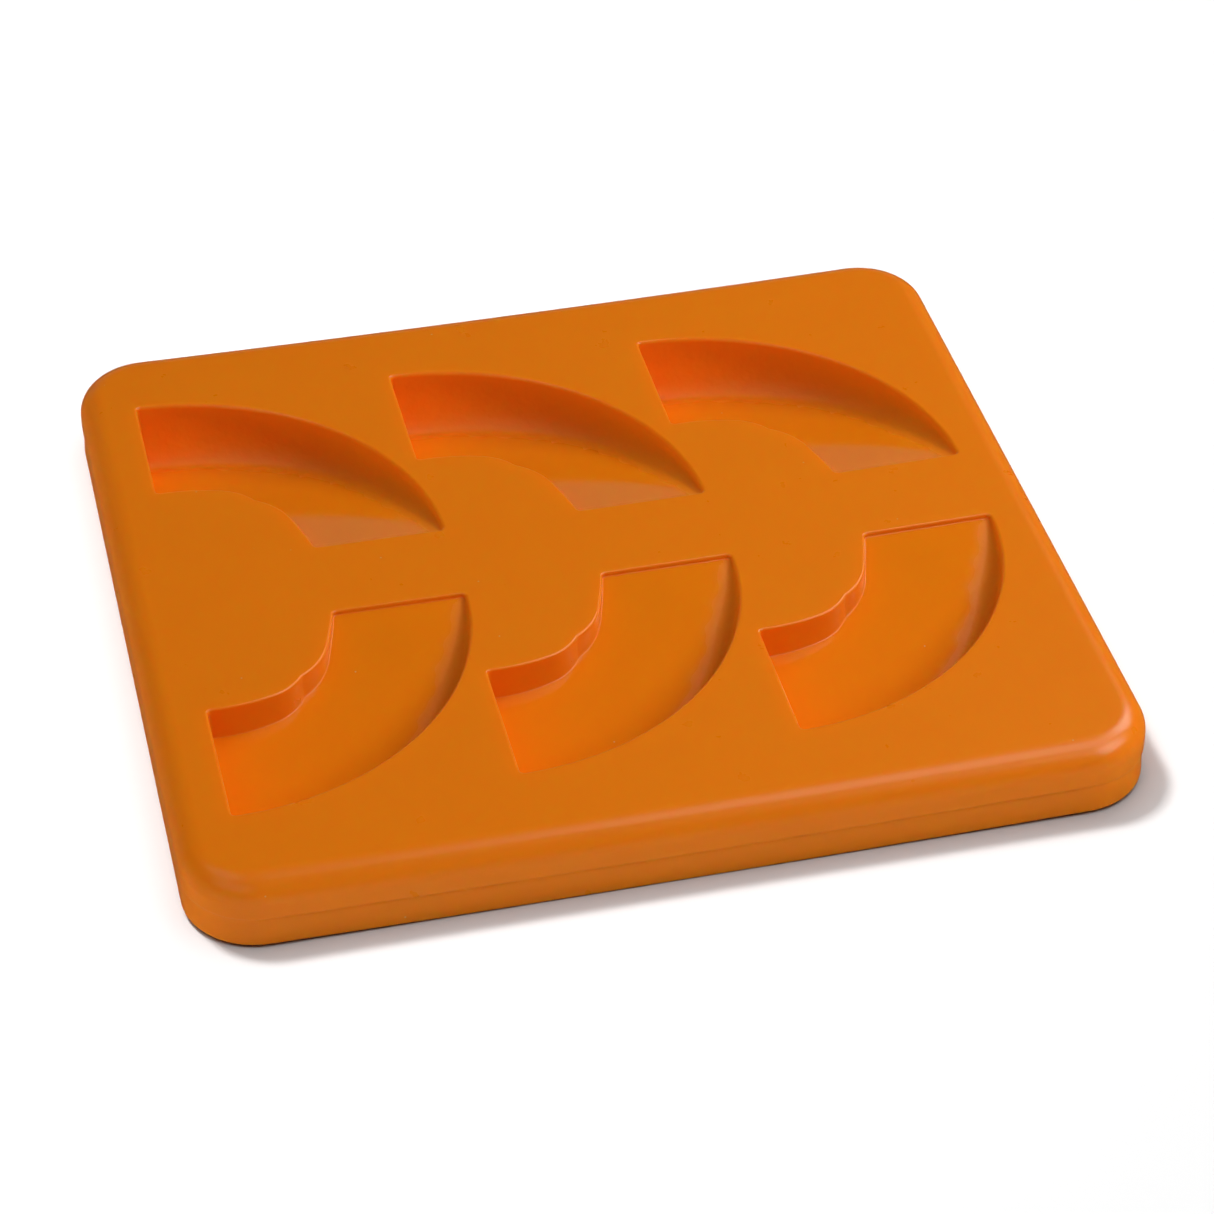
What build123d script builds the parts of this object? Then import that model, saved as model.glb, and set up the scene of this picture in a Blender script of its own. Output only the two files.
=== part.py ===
from build123d import *
from math import cos, radians, sin, sqrt, tan
import os

# Portion mould tray: one silicone moulding with six quarter-ring cavities in two rows of
# three, standing on the rim of its skirt.  X runs along the rows, Y across them, Z up.
# The origin is at the middle of the base.  Sizes are in millimetres, angles in degrees.
# The moulding is written as seven zones that meet face to face: the deck with its skirt,
# and the six cups that hang under it.

# Cavities: each is a quarter ring about its own arc centre, with a flat floor tilted down
# away from the middle rib, like a wedge of squash lying on its cut face
rind_radius = 88.0  # outer curve of the cavity, at the deck
core_radius_rib = 45.6  # inner curve of the cavity, at its end beside the rib
core_radius_end = 39.4  # inner curve of the cavity, at its other end
end_depth = 1.6  # depth of the cavity along the rib
floor_tilt = 13.6
rind_inset = 8.0  # how far the outer wall curves in on its way down
wall_draft = 2.0
plan_corner_radius = 1.5
lip_radius = 0.8
lobes = ((0, 20, 0.2), (20, 43, 0.9), (43, 61, 0.9), (61, 90, 0.5))  # start, end, rise

# Walls
deck_thickness = 3.5
skirt_thickness = 3.5
cup_thickness = 3.0
foot_thickness = 2.1  # under the line where the floor would reach the rind radius
foot_clearance = 0.6  # between the deepest cup and the surface the tray stands on

# Layout
rib_width = 34.0  # between the two rows
neighbour_web = 7.5  # between a cavity's outer curve and the next one's inner corner
end_margin = 18.0  # from the outermost cavities to the ends of the tray
side_margin = 32.5  # from the rows to the long sides of the tray

# Outer shape
corner_radius = 23.0
shoulder_radius = 8.5  # rounding from the deck into the skirt
base_edge_radius = 0.8
parting_height = 10.3  # where the two halves of the moulding tool meet
parting_step = 0.6  # how far the lower half sits in from the upper half
skirt_flare = 3.0  # outward lean of the lower half, towards the base

floor_slope = tan(radians(floor_tilt))
rind_depth = end_depth + floor_slope * rind_radius
column_pitch = sqrt((rind_radius + neighbour_web) ** 2 - core_radius_end**2)
tray_length = 2 * column_pitch + rind_radius + 2 * end_margin
tray_width = 2 * rind_radius + rib_width + 2 * side_margin
tray_height = rind_depth + foot_thickness
reach = rind_radius + 2 * cup_thickness  # past every face of one cup


def core_point(angle, rise=0):
    """Point on the inner curve of a cavity, about its arc centre."""
    radius = core_radius_rib + (core_radius_end - core_radius_rib) * angle / 90 + rise
    return (radius * cos(radians(angle)), radius * sin(radians(angle)))


def keep_above_floor(drop):
    """Cut the part under construction away below the tilted floor, lowered by drop."""
    level = tray_height - end_depth - drop
    with BuildSketch(Plane.YZ.offset(-cup_thickness)) as side:
        Polygon(
            (-cup_thickness, tray_height),
            (reach, tray_height),
            (reach, level - floor_slope * reach),
            (-cup_thickness, level + floor_slope * cup_thickness),
            align=None,
        )
    extrude(side.sketch, amount=reach + cup_thickness, mode=Mode.INTERSECT)


def keep_inside_rind(grow):
    """Round the part under construction to the outer wall of a cavity, grown by grow."""
    middle = rind_radius - rind_inset + grow
    with BuildSketch(Plane.XZ) as profile:
        with BuildLine():
            Line((0, tray_height), (middle + rind_inset, tray_height))
            EllipticalCenterArc((middle, tray_height), rind_inset, rind_depth + grow, 270, arc_size=90)
            Line((middle, tray_height - rind_depth - grow), (0, tray_height - rind_depth - grow))
            Line((0, tray_height - rind_depth - grow), (0, tray_height))
        make_face()
    revolve(profile.sketch, axis=Axis.Z, mode=Mode.INTERSECT)


# The space inside one cavity, with its arc centre at the origin
with BuildPart() as cavity:
    with BuildSketch(Plane.XY.offset(tray_height)):
        with BuildLine():
            for start, end, rise in lobes:
                middle = (start + end) / 2
                ThreePointArc(core_point(start), core_point(middle, rise), core_point(end))
            Line((0, core_radius_end), (0, rind_radius))
            RadiusArc((0, rind_radius), (rind_radius, 0), rind_radius)
            Line((rind_radius, 0), (core_radius_rib, 0))
        make_face()
        corners = vertices().filter_by(lambda corner: min(corner.X, corner.Y) < 0.001)
        fillet(corners, radius=plan_corner_radius)
    extrude(amount=-tray_height, taper=wall_draft)
    keep_above_floor(0)
    keep_inside_rind(0)

# One cup, with the same arc centre: a wall of even thickness round the cavity
with BuildSketch() as cup_plan:
    with BuildLine():
        ThreePointArc(core_point(0), core_point(45), core_point(90))
        Line((0, core_radius_end), (0, rind_radius))
        RadiusArc((0, rind_radius), (rind_radius, 0), rind_radius)
        Line((rind_radius, 0), (core_radius_rib, 0))
    make_face()
    offset(amount=cup_thickness, kind=Kind.ARC)

with BuildPart() as cup_template:
    with BuildSketch(Plane.XY.offset(foot_clearance)):
        add(cup_plan.sketch)
    extrude(amount=tray_height - foot_clearance)
    keep_above_floor(cup_thickness / cos(radians(floor_tilt)))
    keep_inside_rind(cup_thickness)
    add(cavity.part, mode=Mode.SUBTRACT)
    deck_face = faces().sort_by(Axis.Z)[-1]
    fillet(deck_face.inner_wires().edges(), radius=lip_radius)

# Arc centres of the rear row; the front row is its mirror image across the rib
columns = {
    "left": -tray_length / 2 + end_margin,
    "middle": -tray_length / 2 + end_margin + column_pitch,
    "right": -tray_length / 2 + end_margin + 2 * column_pitch,
}
rear_places = {name: Location((x, rib_width / 2, 0)) for name, x in columns.items()}

# The space under the deck, inside the skirt
with BuildPart() as hollow:
    with BuildSketch():
        RectangleRounded(tray_length, tray_width, corner_radius)
        offset(amount=-skirt_thickness)
    extrude(amount=tray_height - deck_thickness)
    fillet(faces().sort_by(Axis.Z)[-1].edges(), radius=shoulder_radius - skirt_thickness)

# Deck, rib and skirt: a shell open underneath, with a hole where each cup fills it
with BuildPart() as deck_and_skirt:
    with BuildSketch(Plane.XY.offset(parting_height)):
        RectangleRounded(tray_length, tray_width, corner_radius)
    extrude(amount=tray_height - parting_height)
    fillet(faces().sort_by(Axis.Z)[-1].edges(), radius=shoulder_radius)
    with BuildSketch(Plane.XY.offset(parting_height)):
        RectangleRounded(tray_length, tray_width, corner_radius)
        offset(amount=-parting_step)
    extrude(amount=-parting_height, taper=-skirt_flare)
    fillet(faces().sort_by(Axis.Z)[0].edges(), radius=base_edge_radius)
    add(hollow.part, mode=Mode.SUBTRACT)
    for place in rear_places.values():
        rear_hole = extrude(cup_plan.sketch, amount=tray_height, mode=Mode.PRIVATE).moved(place)
        add(rear_hole, mode=Mode.SUBTRACT)
        add(mirror(rear_hole, about=Plane.XZ, mode=Mode.PRIVATE), mode=Mode.SUBTRACT)

os.makedirs("parts", exist_ok=True)
deck_and_skirt.part.label = "deck_and_skirt"
export_step(deck_and_skirt.part, "parts/deck_and_skirt.step")

# The six cups
for column, place in rear_places.items():
    with BuildPart() as rear_cup:
        add(cup_template.part.moved(place))
    with BuildPart() as front_cup:
        mirror(rear_cup.part, about=Plane.XZ)
    rear_cup.part.label = f"cup_rear_{column}"
    front_cup.part.label = f"cup_front_{column}"
    export_step(rear_cup.part, f"parts/cup_rear_{column}.step")
    export_step(front_cup.part, f"parts/cup_front_{column}.step")
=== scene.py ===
from math import asin, cos, degrees, pi, radians, sin, sqrt, tan

import bmesh
import bpy
import numpy as np
from bpy.props import FloatProperty, FloatVectorProperty, PointerProperty
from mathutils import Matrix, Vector, noise
from mathutils.geometry import delaunay_2d_cdt


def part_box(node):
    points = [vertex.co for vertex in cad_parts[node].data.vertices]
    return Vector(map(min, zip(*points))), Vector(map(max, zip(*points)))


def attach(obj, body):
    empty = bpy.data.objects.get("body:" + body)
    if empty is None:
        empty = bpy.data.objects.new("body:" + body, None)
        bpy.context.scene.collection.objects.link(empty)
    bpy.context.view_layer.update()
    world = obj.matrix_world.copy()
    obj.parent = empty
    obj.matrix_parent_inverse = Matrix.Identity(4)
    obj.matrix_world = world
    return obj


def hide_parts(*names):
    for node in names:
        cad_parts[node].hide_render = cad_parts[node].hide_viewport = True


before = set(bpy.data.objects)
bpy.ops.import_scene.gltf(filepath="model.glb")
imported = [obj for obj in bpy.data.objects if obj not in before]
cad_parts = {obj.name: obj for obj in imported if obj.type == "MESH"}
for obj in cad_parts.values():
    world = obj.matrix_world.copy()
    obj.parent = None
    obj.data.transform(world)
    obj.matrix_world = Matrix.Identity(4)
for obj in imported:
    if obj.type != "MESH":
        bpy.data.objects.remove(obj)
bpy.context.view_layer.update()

bl_info = {
    "name": "Portion mould tray",
    "version": (1, 0, 0),
    "blender": (4, 5, 0),
    "location": "3D View > Sidebar > Mould tray",
    "description": "Silicone mould tray with six quarter-ring cavities, on a studio floor",
    "category": "Object",
}

# The tray is one silicone moulding.  Its outer sizes and the places of its cavities come from
# the frame; walls, edges and the lobed inner curve are the values below.

MM = 0.001
SHELL_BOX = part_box("deck_and_skirt")
COLUMNS = ("left", "middle", "right")

# Inner curve of a cavity, from its end beside the rib (0 degrees) to its other end (90 degrees):
# valleys as (angle in degrees, radius in mm), and how far the curve swells between them, in mm
CORE_VALLEYS = ((0, 45.8), (20, 44.2), (43, 42.6), (61, 42.1), (90, 39.2))
CORE_SWELLS = (-0.5, 0.85, 0.75, -0.45)

# How finely each stretch of the mesh is divided
CURVE_STEPS = 96
STRAIGHT_STEPS = 30
CORNER_STEPS = 6
LIP_ROWS = 5
WALL_ROWS = 8
FOOT_ROWS = 5
SHELL_CORNER_STEPS = 20
SHELL_SIDE_STEPS = 100
SHOULDER_ROWS = 12
SKIRT_ROWS = 5
EDGE_ROWS = 4
DECK_GRID = 4.5 * MM

# Points of a filled face keep this share of the grid's spacing away from its border; points
# closer together than the weld distance become one
BORDER_GAP = 0.55
WELD = 1e-7

# Small edges of the moulding: rounding at the parting line, the ledge under it, how far the base
# stays inside the shoulder, the cups' roundings, and the least rounding of a cavity's corners
PARTING_EDGE = 0.3 * MM
PARTING_LEDGE = 0.15 * MM
BASE_INSET = 0.06 * MM
CUP_ROOT = 0.5 * MM
CUP_EDGE = 1.0 * MM
SMALLEST_CORNER = 0.5 * MM

# The outer wall curves in by this share of the depth where a cavity is shallow
RIND_SHARE = 0.88

# The outer wall's mottle: width of its patches, the depth it fades in over, and how far from the
# lip it already shows, as a share of the wall
MOTTLE_PATCH = 3.5 * MM
MOTTLE_FADE = 6 * MM
MOTTLE_START = 0.15

# Softboxes: name, what it lights, azimuth from the front towards +X and elevation in degrees,
# distance and (width, height) in metres, and radiance.  The floor has lights of its own, so it
# stays pale without washing out the tray.
LIGHTS = (
    ("front_right_softbox", "tray", 58, 40, 1.8, (1.1, 0.8), 5.0),
    ("back_right_softbox", "tray", 116, 42, 1.8, (0.8, 0.7), 6.0),
    ("right_overhead", "tray", 80, 68, 1.8, (1.0, 0.8), 2.6),
    ("left_overhead", "tray", 270, 64, 1.8, (1.0, 0.8), 0.9),
    ("left_low", "tray", 262, 7, 1.8, (1.2, 0.36), 6.5),
    ("front_left_fill", "tray", 315, 38, 1.8, (1.4, 0.9), 0.6),
    ("low_backdrop", "tray", 180, 10, 2.2, (2.4, 0.6), 0.2),
    ("floor_softbox", "floor", 0, 90, 3.0, (4.0, 4.0), 2.5),
    ("floor_key", "floor", 222, 64, 3.0, (0.5, 0.5), 118.0),
)

# Fills light the hollows and leave no mirror image in the gloss
FILLS = ("left_low",)

# Radiance of the studio above the horizon, and below it, where the gloss finds the floor
STUDIO_DARK = 0.02
FLOOR_IN_GLOSS = 0.04
HORIZON_BLUR = 0.05

# Floor and paper sweep, in metres
FLOOR_SIDE = 12.0
SWEEP_RADIUS = 2.6
SWEEP_HEIGHT = 6.0
SWEEP_SEGMENTS = 96

# The camera stands 1.2 m away, to the left of the front and 39 degrees up, on a 36 mm sensor
CAMERA_AT = (-0.2101, -0.9207, 0.7567)
CAMERA_AIM = (0.0028, -0.0196, 0.0115)
SENSOR_WIDTH = 36.0


def linear(hex_colour):
    """Linear RGB of an sRGB hex colour."""
    values = [int(hex_colour[i : i + 2], 16) / 255 for i in (1, 3, 5)]
    return [v / 12.92 if v <= 0.04045 else ((v + 0.055) / 1.055) ** 2.4 for v in values]


def length(name, description, millimetres):
    """A length property with its default in millimetres."""
    return FloatProperty(name=name, description=description, default=millimetres * MM, unit="LENGTH")


class TraySizes(bpy.types.PropertyGroup):
    """Sizes of the moulding that the frame doesn't give"""

    end_depth: length("End depth", "Depth of a cavity along the rib", 1.6)
    floor_tilt: FloatProperty(
        name="Floor tilt",
        description="Tilt of each cavity's floor, down away from the rib",
        default=radians(13.6),
        subtype="ANGLE",
    )
    wall_draft: FloatProperty(
        name="Wall draft",
        description="Lean of the upright cavity walls",
        default=radians(2.0),
        subtype="ANGLE",
    )
    lip_radius: length("Lip radius", "Rounding of the upright walls into the deck", 0.8)
    foot_radius: length("Foot radius", "Rounding of the upright walls into the floor", 0.4)
    plan_corner: length("Plan corner", "Rounding of a cavity's corners in plan", 1.5)
    rind_lip: length("Rind lip", "Rounding of the outer curved wall into the deck", 1.2)
    rind_inset: length("Rind inset", "How far the outer wall curves in at most", 7.6)
    rind_mottle: length("Rind mottle", "Height of the mottled skin on the outer wall", 0.12)
    cup_thickness: length("Cup thickness", "Wall of the cups under the deck", 3.0)
    deck_thickness: length("Deck thickness", "Thickness of the deck", 3.5)
    skirt_thickness: length("Skirt thickness", "Thickness of the skirt", 3.5)
    foot_clearance: length("Foot clearance", "Gap between the deepest cup and the ground", 0.6)
    corner_radius: length("Corner radius", "Corners of the tray in plan", 23.0)
    shoulder_radius: length("Shoulder radius", "Rounding from the deck into the skirt", 8.5)
    parting_height: length("Parting height", "Height of the line between the tool's halves", 10.3)
    parting_step: length("Parting step", "How far the lower half sits in", 0.6)
    base_edge: length("Base edge", "Rounding of the skirt's bottom edge", 0.8)
    bow: length("Bow", "How much the soft tray's ends lift above its middle", 1.4)


class SiliconeLook(bpy.types.PropertyGroup):
    """Colour and finish of the silicone"""

    colour: FloatVectorProperty(
        name="Colour",
        description="Pigment of the silicone",
        default=linear("#FA810C"),
        subtype="COLOR",
    )
    speck_colour: FloatVectorProperty(
        name="Speck colour",
        description="Dust that clings to the surface",
        default=linear("#F2C48C"),
        subtype="COLOR",
    )
    satin: FloatProperty(
        name="Satin roughness", description="Roughness of the deck and skirt", default=0.28
    )
    polish: FloatProperty(
        name="Floor roughness", description="Roughness of the polished cavity floors", default=0.1
    )
    rind: FloatProperty(
        name="Rind roughness",
        description="Roughness of the cavities' blasted outer walls",
        default=0.45,
    )


class StageLook(bpy.types.PropertyGroup):
    """Floor and camera lens"""

    floor_colour: FloatVectorProperty(
        name="Floor colour",
        description="Plain studio floor",
        default=linear("#C8C8C8"),
        subtype="COLOR",
    )
    focal_length: FloatProperty(
        name="Focal length", description="Camera lens on a 36 mm sensor, in mm", default=110.0
    )


# ---------------------------------------------------------------- plan curves


def core_radius(angle):
    """Radius of the inner curve at an angle in radians from the rib."""
    angle = degrees(angle)
    for (start, first), (end, last), swell in zip(CORE_VALLEYS, CORE_VALLEYS[1:], CORE_SWELLS):
        if angle <= end:
            break
    share = (angle - start) / (end - start)
    return MM * (first + (last - first) * share + swell * 4 * share * (1 - share))


def rounded_rectangle(size_x, size_y, radius):
    """Closed outline of a rectangle with round corners, always with the same number of points."""
    points = []
    half_x, half_y = size_x / 2 - radius, size_y / 2 - radius
    centres = ((half_x, half_y), (-half_x, half_y), (-half_x, -half_y), (half_x, -half_y))
    for quarter, (x, y) in enumerate(centres):
        for step in range(SHELL_CORNER_STEPS + 1):
            angle = (quarter + step / SHELL_CORNER_STEPS) * pi / 2
            points.append((x + radius * cos(angle), y + radius * sin(angle)))
        next_x, next_y = centres[(quarter + 1) % 4]
        last_x, last_y = points[-1]
        for step in range(1, SHELL_SIDE_STEPS):
            share = step / SHELL_SIDE_STEPS
            points.append((last_x + (next_x - x) * share, last_y + (next_y - y) * share))
    return points


def quarter(steps):
    """(cosine, sine) at even steps through a right angle."""
    angles = [pi / 2 * step / steps for step in range(steps + 1)]
    return [(cos(angle), sin(angle)) for angle in angles]


def corner_arc(first, control, last):
    """Points of a round corner between two points, without its ends."""
    points = []
    for step in range(1, CORNER_STEPS):
        t = step / CORNER_STEPS
        weights = ((1 - t) ** 2, 2 * sqrt(0.5) * t * (1 - t), t**2)
        total = sum(weights)
        points.append((weights[0] * first + weights[1] * control + weights[2] * last) / total)
    return points


# ---------------------------------------------------------------- cavity walls


def floor_depth(sizes, point):
    """Depth of a cavity's floor under the deck at a point about the arc centre."""
    return sizes.end_depth + tan(sizes.floor_tilt) * point.y


def upright_wall(sizes, row, depth):
    """(inset, drop) of an upright wall at a row, where the floor is depth under the deck."""
    lip, wall, foot = row
    upright = depth - sizes.lip_radius - sizes.foot_radius
    inset = sizes.lip_radius * (sin(lip * pi / 2) - 1)
    inset += tan(sizes.wall_draft) * wall * upright + sizes.foot_radius * (1 - cos(foot * pi / 2))
    drop = sizes.lip_radius * (1 - cos(lip * pi / 2))
    drop += wall * upright + sizes.foot_radius * sin(foot * pi / 2)
    return inset, drop


def rind_wall(sizes, row, depth):
    """(inset, drop) of the outer wall, which curves into the floor like the rind of a wedge."""
    lip, wall, foot = row
    turn = (wall * WALL_ROWS + foot * FOOT_ROWS) / (WALL_ROWS + FOOT_ROWS) * pi / 2
    width = min(RIND_SHARE * depth, sizes.rind_inset)
    inset = sizes.rind_lip * (sin(lip * pi / 2) - 1) + width * (1 - cos(turn))
    drop = sizes.rind_lip * (1 - cos(lip * pi / 2)) + (depth - sizes.rind_lip) * sin(turn)
    return inset, drop


def cup_outside(sizes, row, depth):
    """(inset, drop) of the outside of a cup, from the deck's underside to the cup's bottom."""
    root, wall, bottom = row
    foot = depth + sizes.cup_thickness
    upright = max(foot - sizes.deck_thickness - CUP_ROOT - CUP_EDGE, 0)
    inset = CUP_ROOT * (sin(root * pi / 2) - 1) + CUP_EDGE * (1 - cos(bottom * pi / 2))
    drop = sizes.deck_thickness + CUP_ROOT * (1 - cos(root * pi / 2))
    drop += wall * upright + CUP_EDGE * sin(bottom * pi / 2)
    return inset - sizes.cup_thickness, drop


def cup_rind(sizes, row, depth):
    """(inset, drop) of the outside of a cup along its outer curve."""
    root, wall, bottom = row
    turn = (wall * WALL_ROWS + bottom * FOOT_ROWS) / (WALL_ROWS + FOOT_ROWS) * pi / 2
    width = min(RIND_SHARE * depth, sizes.rind_inset)
    inset = CUP_ROOT * (sin(root * pi / 2) - 1) + width * (1 - cos(turn))
    start = sizes.deck_thickness + CUP_ROOT * (1 - cos(root * pi / 2))
    drop = start + (depth + sizes.cup_thickness - sizes.deck_thickness - CUP_ROOT) * sin(turn)
    return inset - sizes.cup_thickness, drop


def place(sizes, wall, row, point, inward):
    """A point of the plan outline moved to where a wall has it at a row."""
    inset, drop = wall(sizes, row, floor_depth(sizes, point))
    moved = point + inward * inset
    drop = wall(sizes, row, floor_depth(sizes, moved))[1]
    return Vector((moved.x, moved.y, -drop))


def cavity_ring(sizes, radius, row, upright, rind, corner):
    """One closed ring of points round a cavity, about its arc centre, with z 0 on the deck."""
    rind_at_end, rind_at_rib = Vector((0, radius, 0)), Vector((radius, 0, 0))
    core_at_end, core_at_rib = Vector((0, core_radius(pi / 2), 0)), Vector((core_radius(0), 0, 0))
    toward_x, toward_y = Vector((1, 0, 0)), Vector((0, 1, 0))
    rind_end = place(sizes, rind, row, rind_at_end, -toward_y).y
    rind_rib = place(sizes, rind, row, rind_at_rib, -toward_x).x
    core_end = place(sizes, upright, row, core_at_end, toward_y).y
    core_rib = place(sizes, upright, row, core_at_rib, toward_x).x
    wall_end = place(sizes, upright, row, core_at_end, toward_x).x
    wall_rib = place(sizes, upright, row, rind_at_rib, toward_y).y

    def curve(wall, radius_at, sign, first, last):
        points = []
        for step in range(CURVE_STEPS + 1):
            angle = first + (last - first) * step / CURVE_STEPS
            outward = Vector((cos(angle), sin(angle), 0))
            points.append(place(sizes, wall, row, outward * radius_at(angle), outward * sign))
        return points

    def straight(first, last, inward):
        points = []
        for step in range(STRAIGHT_STEPS + 1):
            at = first.lerp(last, step / STRAIGHT_STEPS)
            points.append(place(sizes, upright, row, at, inward))
        return points

    near_rib = asin((wall_rib + corner) / rind_rib)
    near_end = pi / 2 - asin((wall_end + corner) / rind_end)
    core_near_rib = asin((wall_rib + corner) / core_rib)
    core_near_end = pi / 2 - asin((wall_end + corner) / core_end)
    sides = [
        curve(rind, lambda angle: radius, -1, near_rib, near_end),
        straight(Vector((0, rind_end - corner, 0)), Vector((0, core_end + corner, 0)), toward_x),
        curve(upright, core_radius, 1, core_near_end, core_near_rib),
        straight(Vector((core_rib + corner, 0, 0)), Vector((rind_rib - corner, 0, 0)), toward_y),
    ]
    ring = []
    for index, side in enumerate(sides):
        first, last = side[-1], sides[(index + 1) % 4][0]
        across = (first.z + last.z) / 2
        if index in (0, 3):
            control = Vector((last.x, first.y, across))
        else:
            control = Vector((first.x, last.y, across))
        ring += side + corner_arc(first, control, last)
    return ring


def wall_rows():
    """Rows down a wall, as how far each is through its lip, its upright part and its foot."""
    rows = [(step / LIP_ROWS, 0, 0) for step in range(LIP_ROWS)]
    rows += [(1, step / WALL_ROWS, 0) for step in range(WALL_ROWS)]
    rows += [(1, 1, step / FOOT_ROWS) for step in range(FOOT_ROWS + 1)]
    return rows


# ---------------------------------------------------------------- mesh building


def add_ring(bm, points):
    return [bm.verts.new(point) for point in points]


def join_rings(bm, first, second):
    """Faces between two rings of the same number of vertices."""
    count = len(first)
    for i in range(count):
        j = (i + 1) % count
        bm.faces.new((first[i], first[j], second[j], second[i]))


def loft(bm, rings):
    """Joins each ring to the next, and returns them as vertices."""
    made = [add_ring(bm, points) for points in rings]
    for first, second in zip(made, made[1:]):
        join_rings(bm, first, second)
    return made


def fill(bm, outer, holes, height, spacing, facing):
    """Triangles inside a ring of vertices and outside others, over a grid of points between."""
    loops = [outer, *holes]
    verts = [vert for loop in loops for vert in loop]
    border = np.array([vert.co.xy for vert in verts])
    low, high = border.min(0), border.max(0)
    grid_x = np.arange(low[0] + spacing / 2, high[0], spacing)
    grid_y = np.arange(low[1] + spacing / 2, high[1], spacing)
    grid = np.array([(x, y) for x in grid_x for y in grid_y]).reshape(-1, 2)
    gap = np.array([np.hypot(*(border - point).T).min() for point in grid])
    grid = grid[gap > BORDER_GAP * spacing]
    points = [Vector(point) for point in np.vstack([border, grid])]
    faces, start = [], 0
    for loop in loops:
        indices = list(range(start, start + len(loop)))
        start += len(loop)
        x, y = border[indices].T
        anticlockwise = np.dot(x, np.roll(y, -1)) > np.dot(y, np.roll(x, -1))
        faces.append(indices if anticlockwise else indices[::-1])
    result = delaunay_2d_cdt(points, [], faces, 1, WELD)
    found, triangles, sources, inside = result[0], result[2], result[3], result[5]
    made = {}
    for triangle, owners in zip(triangles, inside):
        if owners != [0]:
            continue
        corners = []
        for index in triangle:
            if index not in made:
                source = min(sources[index], default=len(points))
                if source < len(verts):
                    made[index] = verts[source]
                else:
                    at = found[index]
                    made[index] = bm.verts.new((at.x, at.y, height(at)))
            corners.append(made[index])
        face = bm.faces.new(corners)
        face.normal_update()
        if face.normal.z * facing < 0:
            face.normal_flip()
    return list(made.values())


def mottled(sizes, ring, row):
    """A ring with the outer wall's skin raised and lowered in patches a few millimetres wide."""
    wall, foot = row[1:]
    if wall == 0:
        return ring
    strength = sizes.rind_mottle * sin(pi * min((wall + foot) / 2 + MOTTLE_START, 1))
    moved = list(ring)
    for index, point in enumerate(ring[: CURVE_STEPS + 1]):
        outward = Vector((point.x, point.y, 0)).normalized()
        depth = min(-point.z / MOTTLE_FADE, 1)
        moved[index] = point + outward * strength * depth * noise.noise(point / MOTTLE_PATCH)
    return moved


def shell_rows(sizes, deck):
    """(inset, height) of the shell's outlines, from the deck's edge down and up inside the skirt."""
    shoulder = sizes.shoulder_radius
    rows = []
    for cosine, sine in quarter(SHOULDER_ROWS):
        rows.append((shoulder * (1 - sine), deck - shoulder * (1 - cosine)))

    # the parting line, and the lower half of the skirt, which flares back out
    parting = sizes.parting_height
    rows.append((0, parting + 2 * PARTING_EDGE))
    for cosine, sine in quarter(EDGE_ROWS - 1):
        rows.append((PARTING_EDGE * (1 - cosine), parting + PARTING_EDGE * (1 - sine)))
    rows.append((sizes.parting_step, parting - PARTING_LEDGE))
    for step in range(1, SKIRT_ROWS):
        share = step / SKIRT_ROWS
        inset = sizes.parting_step * (1 - share) + BASE_INSET * share
        rows.append((inset, parting * (1 - share) + sizes.base_edge * share))
    for cosine, sine in quarter(EDGE_ROWS):
        rows.append((BASE_INSET + sizes.base_edge * (1 - cosine), sizes.base_edge * (1 - sine)))

    # the inside of the skirt and its run into the deck's underside
    inner = sizes.skirt_thickness
    root = shoulder - inner
    ceiling = deck - sizes.deck_thickness
    rows.append((inner - PARTING_EDGE, 0))
    rows.append((inner, PARTING_EDGE))
    rows.append((inner, (ceiling - root) / 2))
    for cosine, sine in quarter(SHOULDER_ROWS // 2):
        rows.append((inner + root * (1 - cosine), ceiling - root * (1 - sine)))
    return rows


def cavity_rings(sizes, radius):
    """Rings down the inside of a cavity, and down the outside of its cup."""
    half_way = floor_depth(sizes, Vector((0, radius / 2, 0)))
    inside, outside = [], []
    for row in wall_rows():
        corner = max(sizes.plan_corner - upright_wall(sizes, row, half_way)[0], SMALLEST_CORNER)
        ring = cavity_ring(sizes, radius, row, upright_wall, rind_wall, corner)
        inside.append(mottled(sizes, ring, row))
        outside.append(cavity_ring(sizes, radius, row, cup_outside, cup_rind, sizes.cup_thickness))
    return inside, outside


def settled(sizes, ring, centre, side, deck):
    """A ring moved to its place in the tray, in the rear row (side 1) or the front row (-1)."""
    points = []
    for point in ring:
        height = max(deck + point.z, sizes.foot_clearance)
        points.append((centre.x + point.x, side * (centre.y + point.y), height))
    return points


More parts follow.
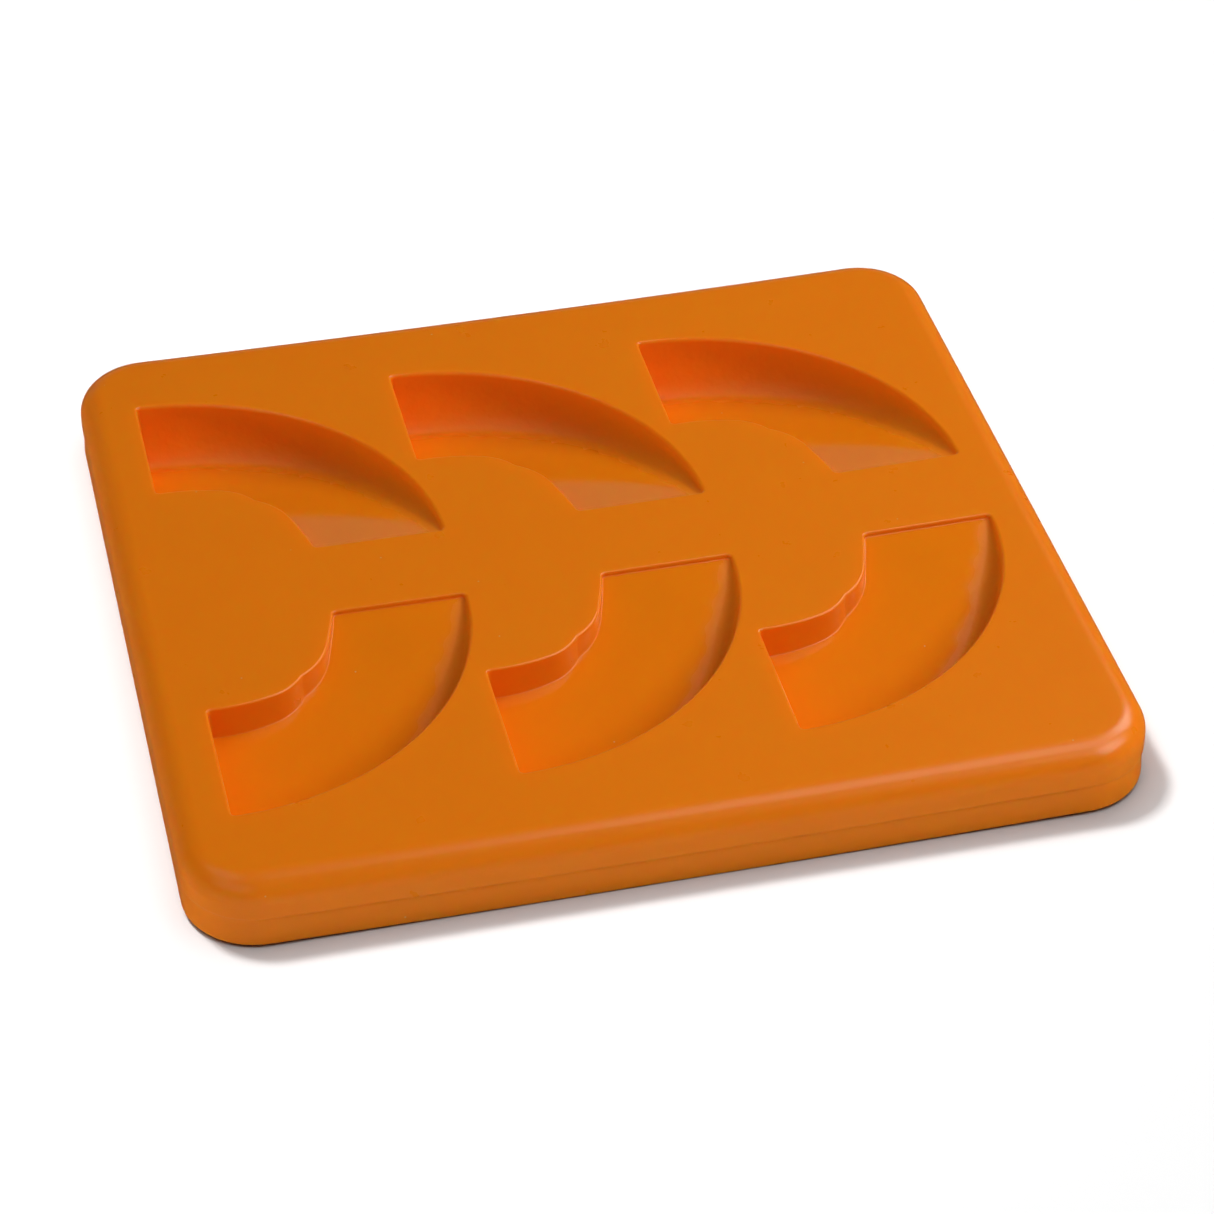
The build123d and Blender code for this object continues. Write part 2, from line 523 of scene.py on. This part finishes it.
def build_tray_mesh(sizes):
    """The whole tray as one closed skin."""
    low, high = SHELL_BOX
    size_x, size_y = high.x - low.x, high.y - low.y
    deck = high.z - low.z - sizes.bow
    ceiling = deck - sizes.deck_thickness
    bm = bmesh.new()

    outlines = []
    for inset, height in shell_rows(sizes, deck):
        plan = rounded_rectangle(size_x - 2 * inset, size_y - 2 * inset, sizes.corner_radius - inset)
        outlines.append([(x, y, height) for x, y in plan])
    shell = loft(bm, outlines)

    polish, rind = {}, {}
    deck_holes, ceiling_holes = [], []
    for column in COLUMNS:
        corner_low, corner_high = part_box(f"cup_rear_{column}")
        radius = corner_high.x - corner_low.x - 2 * sizes.cup_thickness
        centre = corner_low + Vector((sizes.cup_thickness, sizes.cup_thickness, 0))
        inside, outside = cavity_rings(sizes, radius)

        def floor_height(at):
            return deck - sizes.end_depth - tan(sizes.floor_tilt) * (abs(at.y) - centre.y)

        def bottom_height(at):
            return max(floor_height(at) - sizes.cup_thickness, sizes.foot_clearance)

        for side in (1, -1):
            walls = loft(bm, [settled(sizes, ring, centre, side, deck) for ring in inside])
            deck_holes.append(walls[0])
            for vert in fill(bm, walls[-1], [], floor_height, DECK_GRID, 1):
                polish[vert] = 1.0
            for ring in walls[LIP_ROWS:]:
                for vert in ring[: CURVE_STEPS + 1]:
                    rind[vert] = 1.0
            cup = loft(bm, [settled(sizes, ring, centre, side, deck) for ring in outside])
            ceiling_holes.append(cup[0])
            fill(bm, cup[-1], [], bottom_height, 2 * DECK_GRID, -1)

    fill(bm, shell[0], deck_holes, lambda at: deck, DECK_GRID, 1)
    fill(bm, shell[-1], ceiling_holes, lambda at: ceiling, 2 * DECK_GRID, -1)

    half = size_x / 2
    for vert in bm.verts:
        vert.co.z += sizes.bow * (vert.co.x / half) ** 2
    bmesh.ops.recalc_face_normals(bm, faces=bm.faces)
    bm.verts.index_update()
    values = {}
    for name, marked in (("polish", polish), ("rind", rind)):
        values[name] = np.zeros(len(bm.verts), np.float32)
        for vert, value in marked.items():
            values[name][vert.index] = value
    mesh = bpy.data.meshes.new("mould_tray")
    bm.to_mesh(mesh)
    bm.free()
    for name, data in values.items():
        mesh.attributes.new(name, "FLOAT", "POINT").data.foreach_set("value", data)
    mesh.polygons.foreach_set("use_smooth", [True] * len(mesh.polygons))
    mesh.update()
    return mesh


# ---------------------------------------------------------------- materials


def add_node(tree, kind, settings=None, links=None):
    """A node with its settings: attributes by name, inputs by name or number, and links to it."""
    node = tree.nodes.new(kind)
    for key, value in (settings or {}).items():
        if isinstance(key, str) and hasattr(node, key):
            setattr(node, key, value)
        else:
            node.inputs[key].default_value = value
    for key, output in (links or {}).items():
        tree.links.new(output, node.inputs[key])
    return node


def moulded_silicone(look):
    """Silicone rubber with orange pigment, compression moulded in a satin-blasted steel tool.

    The eye gets an even, slightly translucent body colour that turns redder in the hollows, a
    broad soft gloss on the deck and a sharper one on the cavity floors, whose tool was polished.
    """
    material = bpy.data.materials.new("moulded_silicone")
    material.use_nodes = True
    tree = material.node_tree
    tree.nodes.clear()
    place_in = add_node(tree, "ShaderNodeTexCoord").outputs["Object"]
    polish = add_node(tree, "ShaderNodeAttribute", {"attribute_name": "polish"}).outputs["Fac"]
    rind = add_node(tree, "ShaderNodeAttribute", {"attribute_name": "rind"}).outputs["Fac"]

    # pigment that mixed a little unevenly, in patches about 40 mm wide, one part in a hundred
    # lighter or darker
    patches = add_node(
        tree, "ShaderNodeTexNoise", {"Scale": 1 / (40 * MM), "Detail": 2.0}, {"Vector": place_in}
    ).outputs["Fac"]
    shade = add_node(
        tree,
        "ShaderNodeMapRange",
        {"From Min": 0.3, "From Max": 0.7, "To Min": 0.99, "To Max": 1.01},
        {"Value": patches},
    ).outputs["Result"]
    body = add_node(
        tree, "ShaderNodeMix", {"data_type": "RGBA", "blend_type": "MULTIPLY", "Factor": 1.0}
    )
    body.inputs["A"].default_value = (*look.colour, 1)
    tree.links.new(shade, body.inputs["B"])

    # dust specks about 0.5 mm wide: the few middles of 12 mm cells that lie at the surface
    cells = add_node(
        tree,
        "ShaderNodeTexVoronoi",
        {"Scale": 1 / (12 * MM), "Randomness": 1.0},
        {"Vector": place_in},
    ).outputs["Distance"]
    speck = add_node(
        tree,
        "ShaderNodeMapRange",
        {"From Min": 0.018, "From Max": 0.03, "To Min": 0.7, "To Max": 0.0},
        {"Value": cells},
    ).outputs["Result"]
    colour = add_node(tree, "ShaderNodeMix", {"data_type": "RGBA"}, {"Factor": speck})
    tree.links.new(body.outputs["Result"], colour.inputs["A"])
    colour.inputs["B"].default_value = (*look.speck_colour, 1)

    # satin skin, rubbed a little unevenly in patches 9 mm wide; the floors are smoother, and the
    # outer walls, where the tool was blasted more, are duller
    rubbed = add_node(
        tree, "ShaderNodeTexNoise", {"Scale": 1 / (9 * MM), "Detail": 4.0}, {"Vector": place_in}
    ).outputs["Fac"]
    satin = add_node(
        tree,
        "ShaderNodeMapRange",
        {"To Min": look.satin - 0.015, "To Max": look.satin + 0.015},
        {"Value": rubbed},
    ).outputs["Result"]
    roughness = add_node(tree, "ShaderNodeMix", {"data_type": "FLOAT"}, {"Factor": polish})
    tree.links.new(satin, roughness.inputs["A"])
    roughness.inputs["B"].default_value = look.polish
    blasted = add_node(tree, "ShaderNodeMix", {"data_type": "FLOAT"}, {"Factor": rind})
    tree.links.new(roughness.outputs["Result"], blasted.inputs["A"])
    blasted.inputs["B"].default_value = look.rind

    # skin texture: a grain finer than the render shows, drawn 0.6 mm wide, and the rind's mottle
    grain = add_node(
        tree, "ShaderNodeTexNoise", {"Scale": 1 / (0.6 * MM), "Detail": 2.0}, {"Vector": place_in}
    ).outputs["Fac"]
    mottle = add_node(
        tree, "ShaderNodeTexNoise", {"Scale": 1 / (2.2 * MM), "Detail": 3.0}, {"Vector": place_in}
    ).outputs["Fac"]
    mottle_height = add_node(
        tree, "ShaderNodeMath", {"operation": "MULTIPLY"}, {0: mottle, 1: rind}
    ).outputs[0]
    fine = add_node(
        tree, "ShaderNodeBump", {"Strength": 0.12, "Distance": 0.05 * MM}, {"Height": grain}
    ).outputs["Normal"]
    skin = add_node(
        tree,
        "ShaderNodeBump",
        {"Strength": 0.5, "Distance": 0.3 * MM},
        {"Height": mottle_height, "Normal": fine},
    ).outputs["Normal"]

    # light goes some millimetres into the rubber, red the farthest
    shader = add_node(
        tree,
        "ShaderNodeBsdfPrincipled",
        {
            "IOR": 1.41,
            "Subsurface Weight": 0.55,
            "Subsurface Radius": (1.0, 0.25, 0.08),
            "Subsurface Scale": 8 * MM,
        },
        {
            "Base Color": colour.outputs["Result"],
            "Roughness": blasted.outputs["Result"],
            "Normal": skin,
        },
    )
    add_node(tree, "ShaderNodeOutputMaterial", None, {"Surface": shader.outputs[0]})
    return material


def painted_floor(look):
    """Matt paint on the studio floor: pale and even, with no gloss."""
    material = bpy.data.materials.new("painted_floor")
    material.use_nodes = True
    tree = material.node_tree
    tree.nodes.clear()
    shader = add_node(
        tree,
        "ShaderNodeBsdfPrincipled",
        {"Base Color": (*look.floor_colour, 1), "Roughness": 0.9, "Specular IOR Level": 0.1},
    )
    add_node(tree, "ShaderNodeOutputMaterial", None, {"Surface": shader.outputs[0]})
    return material


def lit_paper():
    """White paper lit from behind: one flat pale tone."""
    material = bpy.data.materials.new("lit_paper")
    material.use_nodes = True
    tree = material.node_tree
    tree.nodes.clear()
    paper = add_node(tree, "ShaderNodeEmission", {"Color": (1, 1, 1, 1), "Strength": 1.0})
    add_node(tree, "ShaderNodeOutputMaterial", None, {"Surface": paper.outputs[0]})
    return material


def studio_world():
    """A dark studio; what the gloss meets below the horizon is a little paler, like the floor."""
    world = bpy.data.worlds.new("studio")
    world.use_nodes = True
    tree = world.node_tree
    tree.nodes.clear()
    toward = add_node(tree, "ShaderNodeTexCoord").outputs["Generated"]
    height = add_node(tree, "ShaderNodeSeparateXYZ", None, {0: toward}).outputs["Z"]
    strength = add_node(
        tree,
        "ShaderNodeMapRange",
        {"From Min": -HORIZON_BLUR, "From Max": 0.0, "To Min": FLOOR_IN_GLOSS, "To Max": STUDIO_DARK},
        {"Value": height},
    ).outputs["Result"]
    light = add_node(tree, "ShaderNodeBackground", {"Color": (1, 1, 1, 1)}, {"Strength": strength})
    add_node(tree, "ShaderNodeOutputWorld", None, {"Surface": light.outputs[0]})
    return world


# ---------------------------------------------------------------- stage


def studio_floor(look):
    """A square floor.  The gloss doesn't mirror it, so the tray's sides keep their colour."""
    half = FLOOR_SIDE / 2
    corners = [(-half, -half, 0), (half, -half, 0), (half, half, 0), (-half, half, 0)]
    mesh = bpy.data.meshes.new("floor")
    mesh.from_pydata(corners, [], [(0, 1, 2, 3)])
    mesh.materials.append(painted_floor(look))
    floor = bpy.data.objects.new("floor", mesh)
    floor.visible_glossy = False
    return floor


def paper_sweep():
    """White paper round the stage, for low views; it doesn't light the tray."""
    bm = bmesh.new()
    bmesh.ops.create_cone(
        bm,
        cap_ends=False,
        segments=SWEEP_SEGMENTS,
        radius1=SWEEP_RADIUS,
        radius2=SWEEP_RADIUS,
        depth=SWEEP_HEIGHT,
    )
    mesh = bpy.data.meshes.new("backdrop")
    bm.to_mesh(mesh)
    bm.free()
    mesh.materials.append(lit_paper())
    sweep = bpy.data.objects.new("backdrop", mesh)
    sweep.visible_glossy = False
    sweep.visible_diffuse = False
    sweep.visible_shadow = False
    return sweep


def softbox(name, azimuth, elevation, distance, size, radiance):
    """A rectangular area light that faces the origin."""
    light = bpy.data.lights.new(name, "AREA")
    light.shape = "RECTANGLE"
    light.size, light.size_y = size
    light.energy = radiance * pi * light.size * light.size_y
    lamp = bpy.data.objects.new(name, light)
    azimuth, elevation = radians(azimuth), radians(elevation)
    level = cos(elevation)
    toward = Vector((sin(azimuth) * level, -cos(azimuth) * level, sin(elevation)))
    lamp.location = distance * toward
    lamp.rotation_euler = (-toward).to_track_quat("-Z", "Y").to_euler()
    lamp.visible_glossy = name not in FILLS
    return lamp


def stage_camera(look):
    """The camera, aimed a little in front of the tray's middle."""
    camera = bpy.data.cameras.new("camera")
    camera.lens = look.focal_length
    camera.sensor_width = SENSOR_WIDTH
    holder = bpy.data.objects.new("camera", camera)
    holder.location = CAMERA_AT
    away = Vector(CAMERA_AIM) - holder.location
    holder.rotation_euler = away.to_track_quat("-Z", "Y").to_euler()
    return holder


# ---------------------------------------------------------------- operators


class TRAY_OT_build_tray(bpy.types.Operator):
    """Build the silicone moulding and let it stand for every CAD zone"""

    bl_idname = "tray.build_tray"
    bl_label = "Build the tray"

    def execute(self, context):
        tray = bpy.data.objects.new("mould_tray", build_tray_mesh(context.scene.tray_sizes))
        context.scene.collection.objects.link(tray)
        tray.data.materials.append(moulded_silicone(context.scene.silicone_look))
        weighted = tray.modifiers.new("flat_faces_stay_flat", "WEIGHTED_NORMAL")
        weighted.mode = "FACE_AREA_WITH_ANGLE"
        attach(tray, "root")
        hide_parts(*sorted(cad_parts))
        return {"FINISHED"}


class TRAY_OT_set_stage(bpy.types.Operator):
    """Set the floor, the paper sweep, the soft lights and the camera"""

    bl_idname = "tray.set_stage"
    bl_label = "Set the stage"

    def execute(self, context):
        scene = context.scene
        look = scene.stage_look
        scene.view_settings.view_transform = "Standard"

        scene.world = studio_world()
        floor = studio_floor(look)
        sweep = paper_sweep()
        for staged in (floor, sweep):
            scene.collection.objects.link(staged)

        lit = {}
        for target, receiver in (("floor", floor), ("tray", bpy.data.objects["mould_tray"])):
            lit[target] = bpy.data.collections.new(f"{target}_only")
            lit[target].objects.link(receiver)
        for name, target, *placing in LIGHTS:
            lamp = softbox(name, *placing)
            scene.collection.objects.link(lamp)
            lamp.light_linking.receiver_collection = lit[target]

        scene.camera = stage_camera(look)
        scene.collection.objects.link(scene.camera)
        return {"FINISHED"}


class TRAY_PT_panel(bpy.types.Panel):
    """The tray's sizes, finish and build steps"""

    bl_idname = "TRAY_PT_panel"
    bl_label = "Portion mould tray"
    bl_space_type = "VIEW_3D"
    bl_region_type = "UI"
    bl_category = "Mould tray"

    def draw(self, context):
        for operator in OPERATORS:
            self.layout.operator(operator.bl_idname)
        for group in (context.scene.tray_sizes, context.scene.silicone_look, context.scene.stage_look):
            column = self.layout.column(align=True)
            for name in group.__annotations__:
                column.prop(group, name)


GROUPS = {"tray_sizes": TraySizes, "silicone_look": SiliconeLook, "stage_look": StageLook}
OPERATORS = (TRAY_OT_build_tray, TRAY_OT_set_stage)


def register():
    for group in GROUPS.values():
        bpy.utils.register_class(group)
    for name, group in GROUPS.items():
        setattr(bpy.types.Scene, name, PointerProperty(type=group))
    for operator in OPERATORS:
        bpy.utils.register_class(operator)
    bpy.utils.register_class(TRAY_PT_panel)


def unregister():
    bpy.utils.unregister_class(TRAY_PT_panel)
    for operator in reversed(OPERATORS):
        bpy.utils.unregister_class(operator)
    for name in GROUPS:
        delattr(bpy.types.Scene, name)
    for group in reversed(GROUPS.values()):
        bpy.utils.unregister_class(group)


def main():
    register()
    bpy.ops.tray.build_tray()
    bpy.ops.tray.set_stage()


if __name__ == "__main__":
    main()
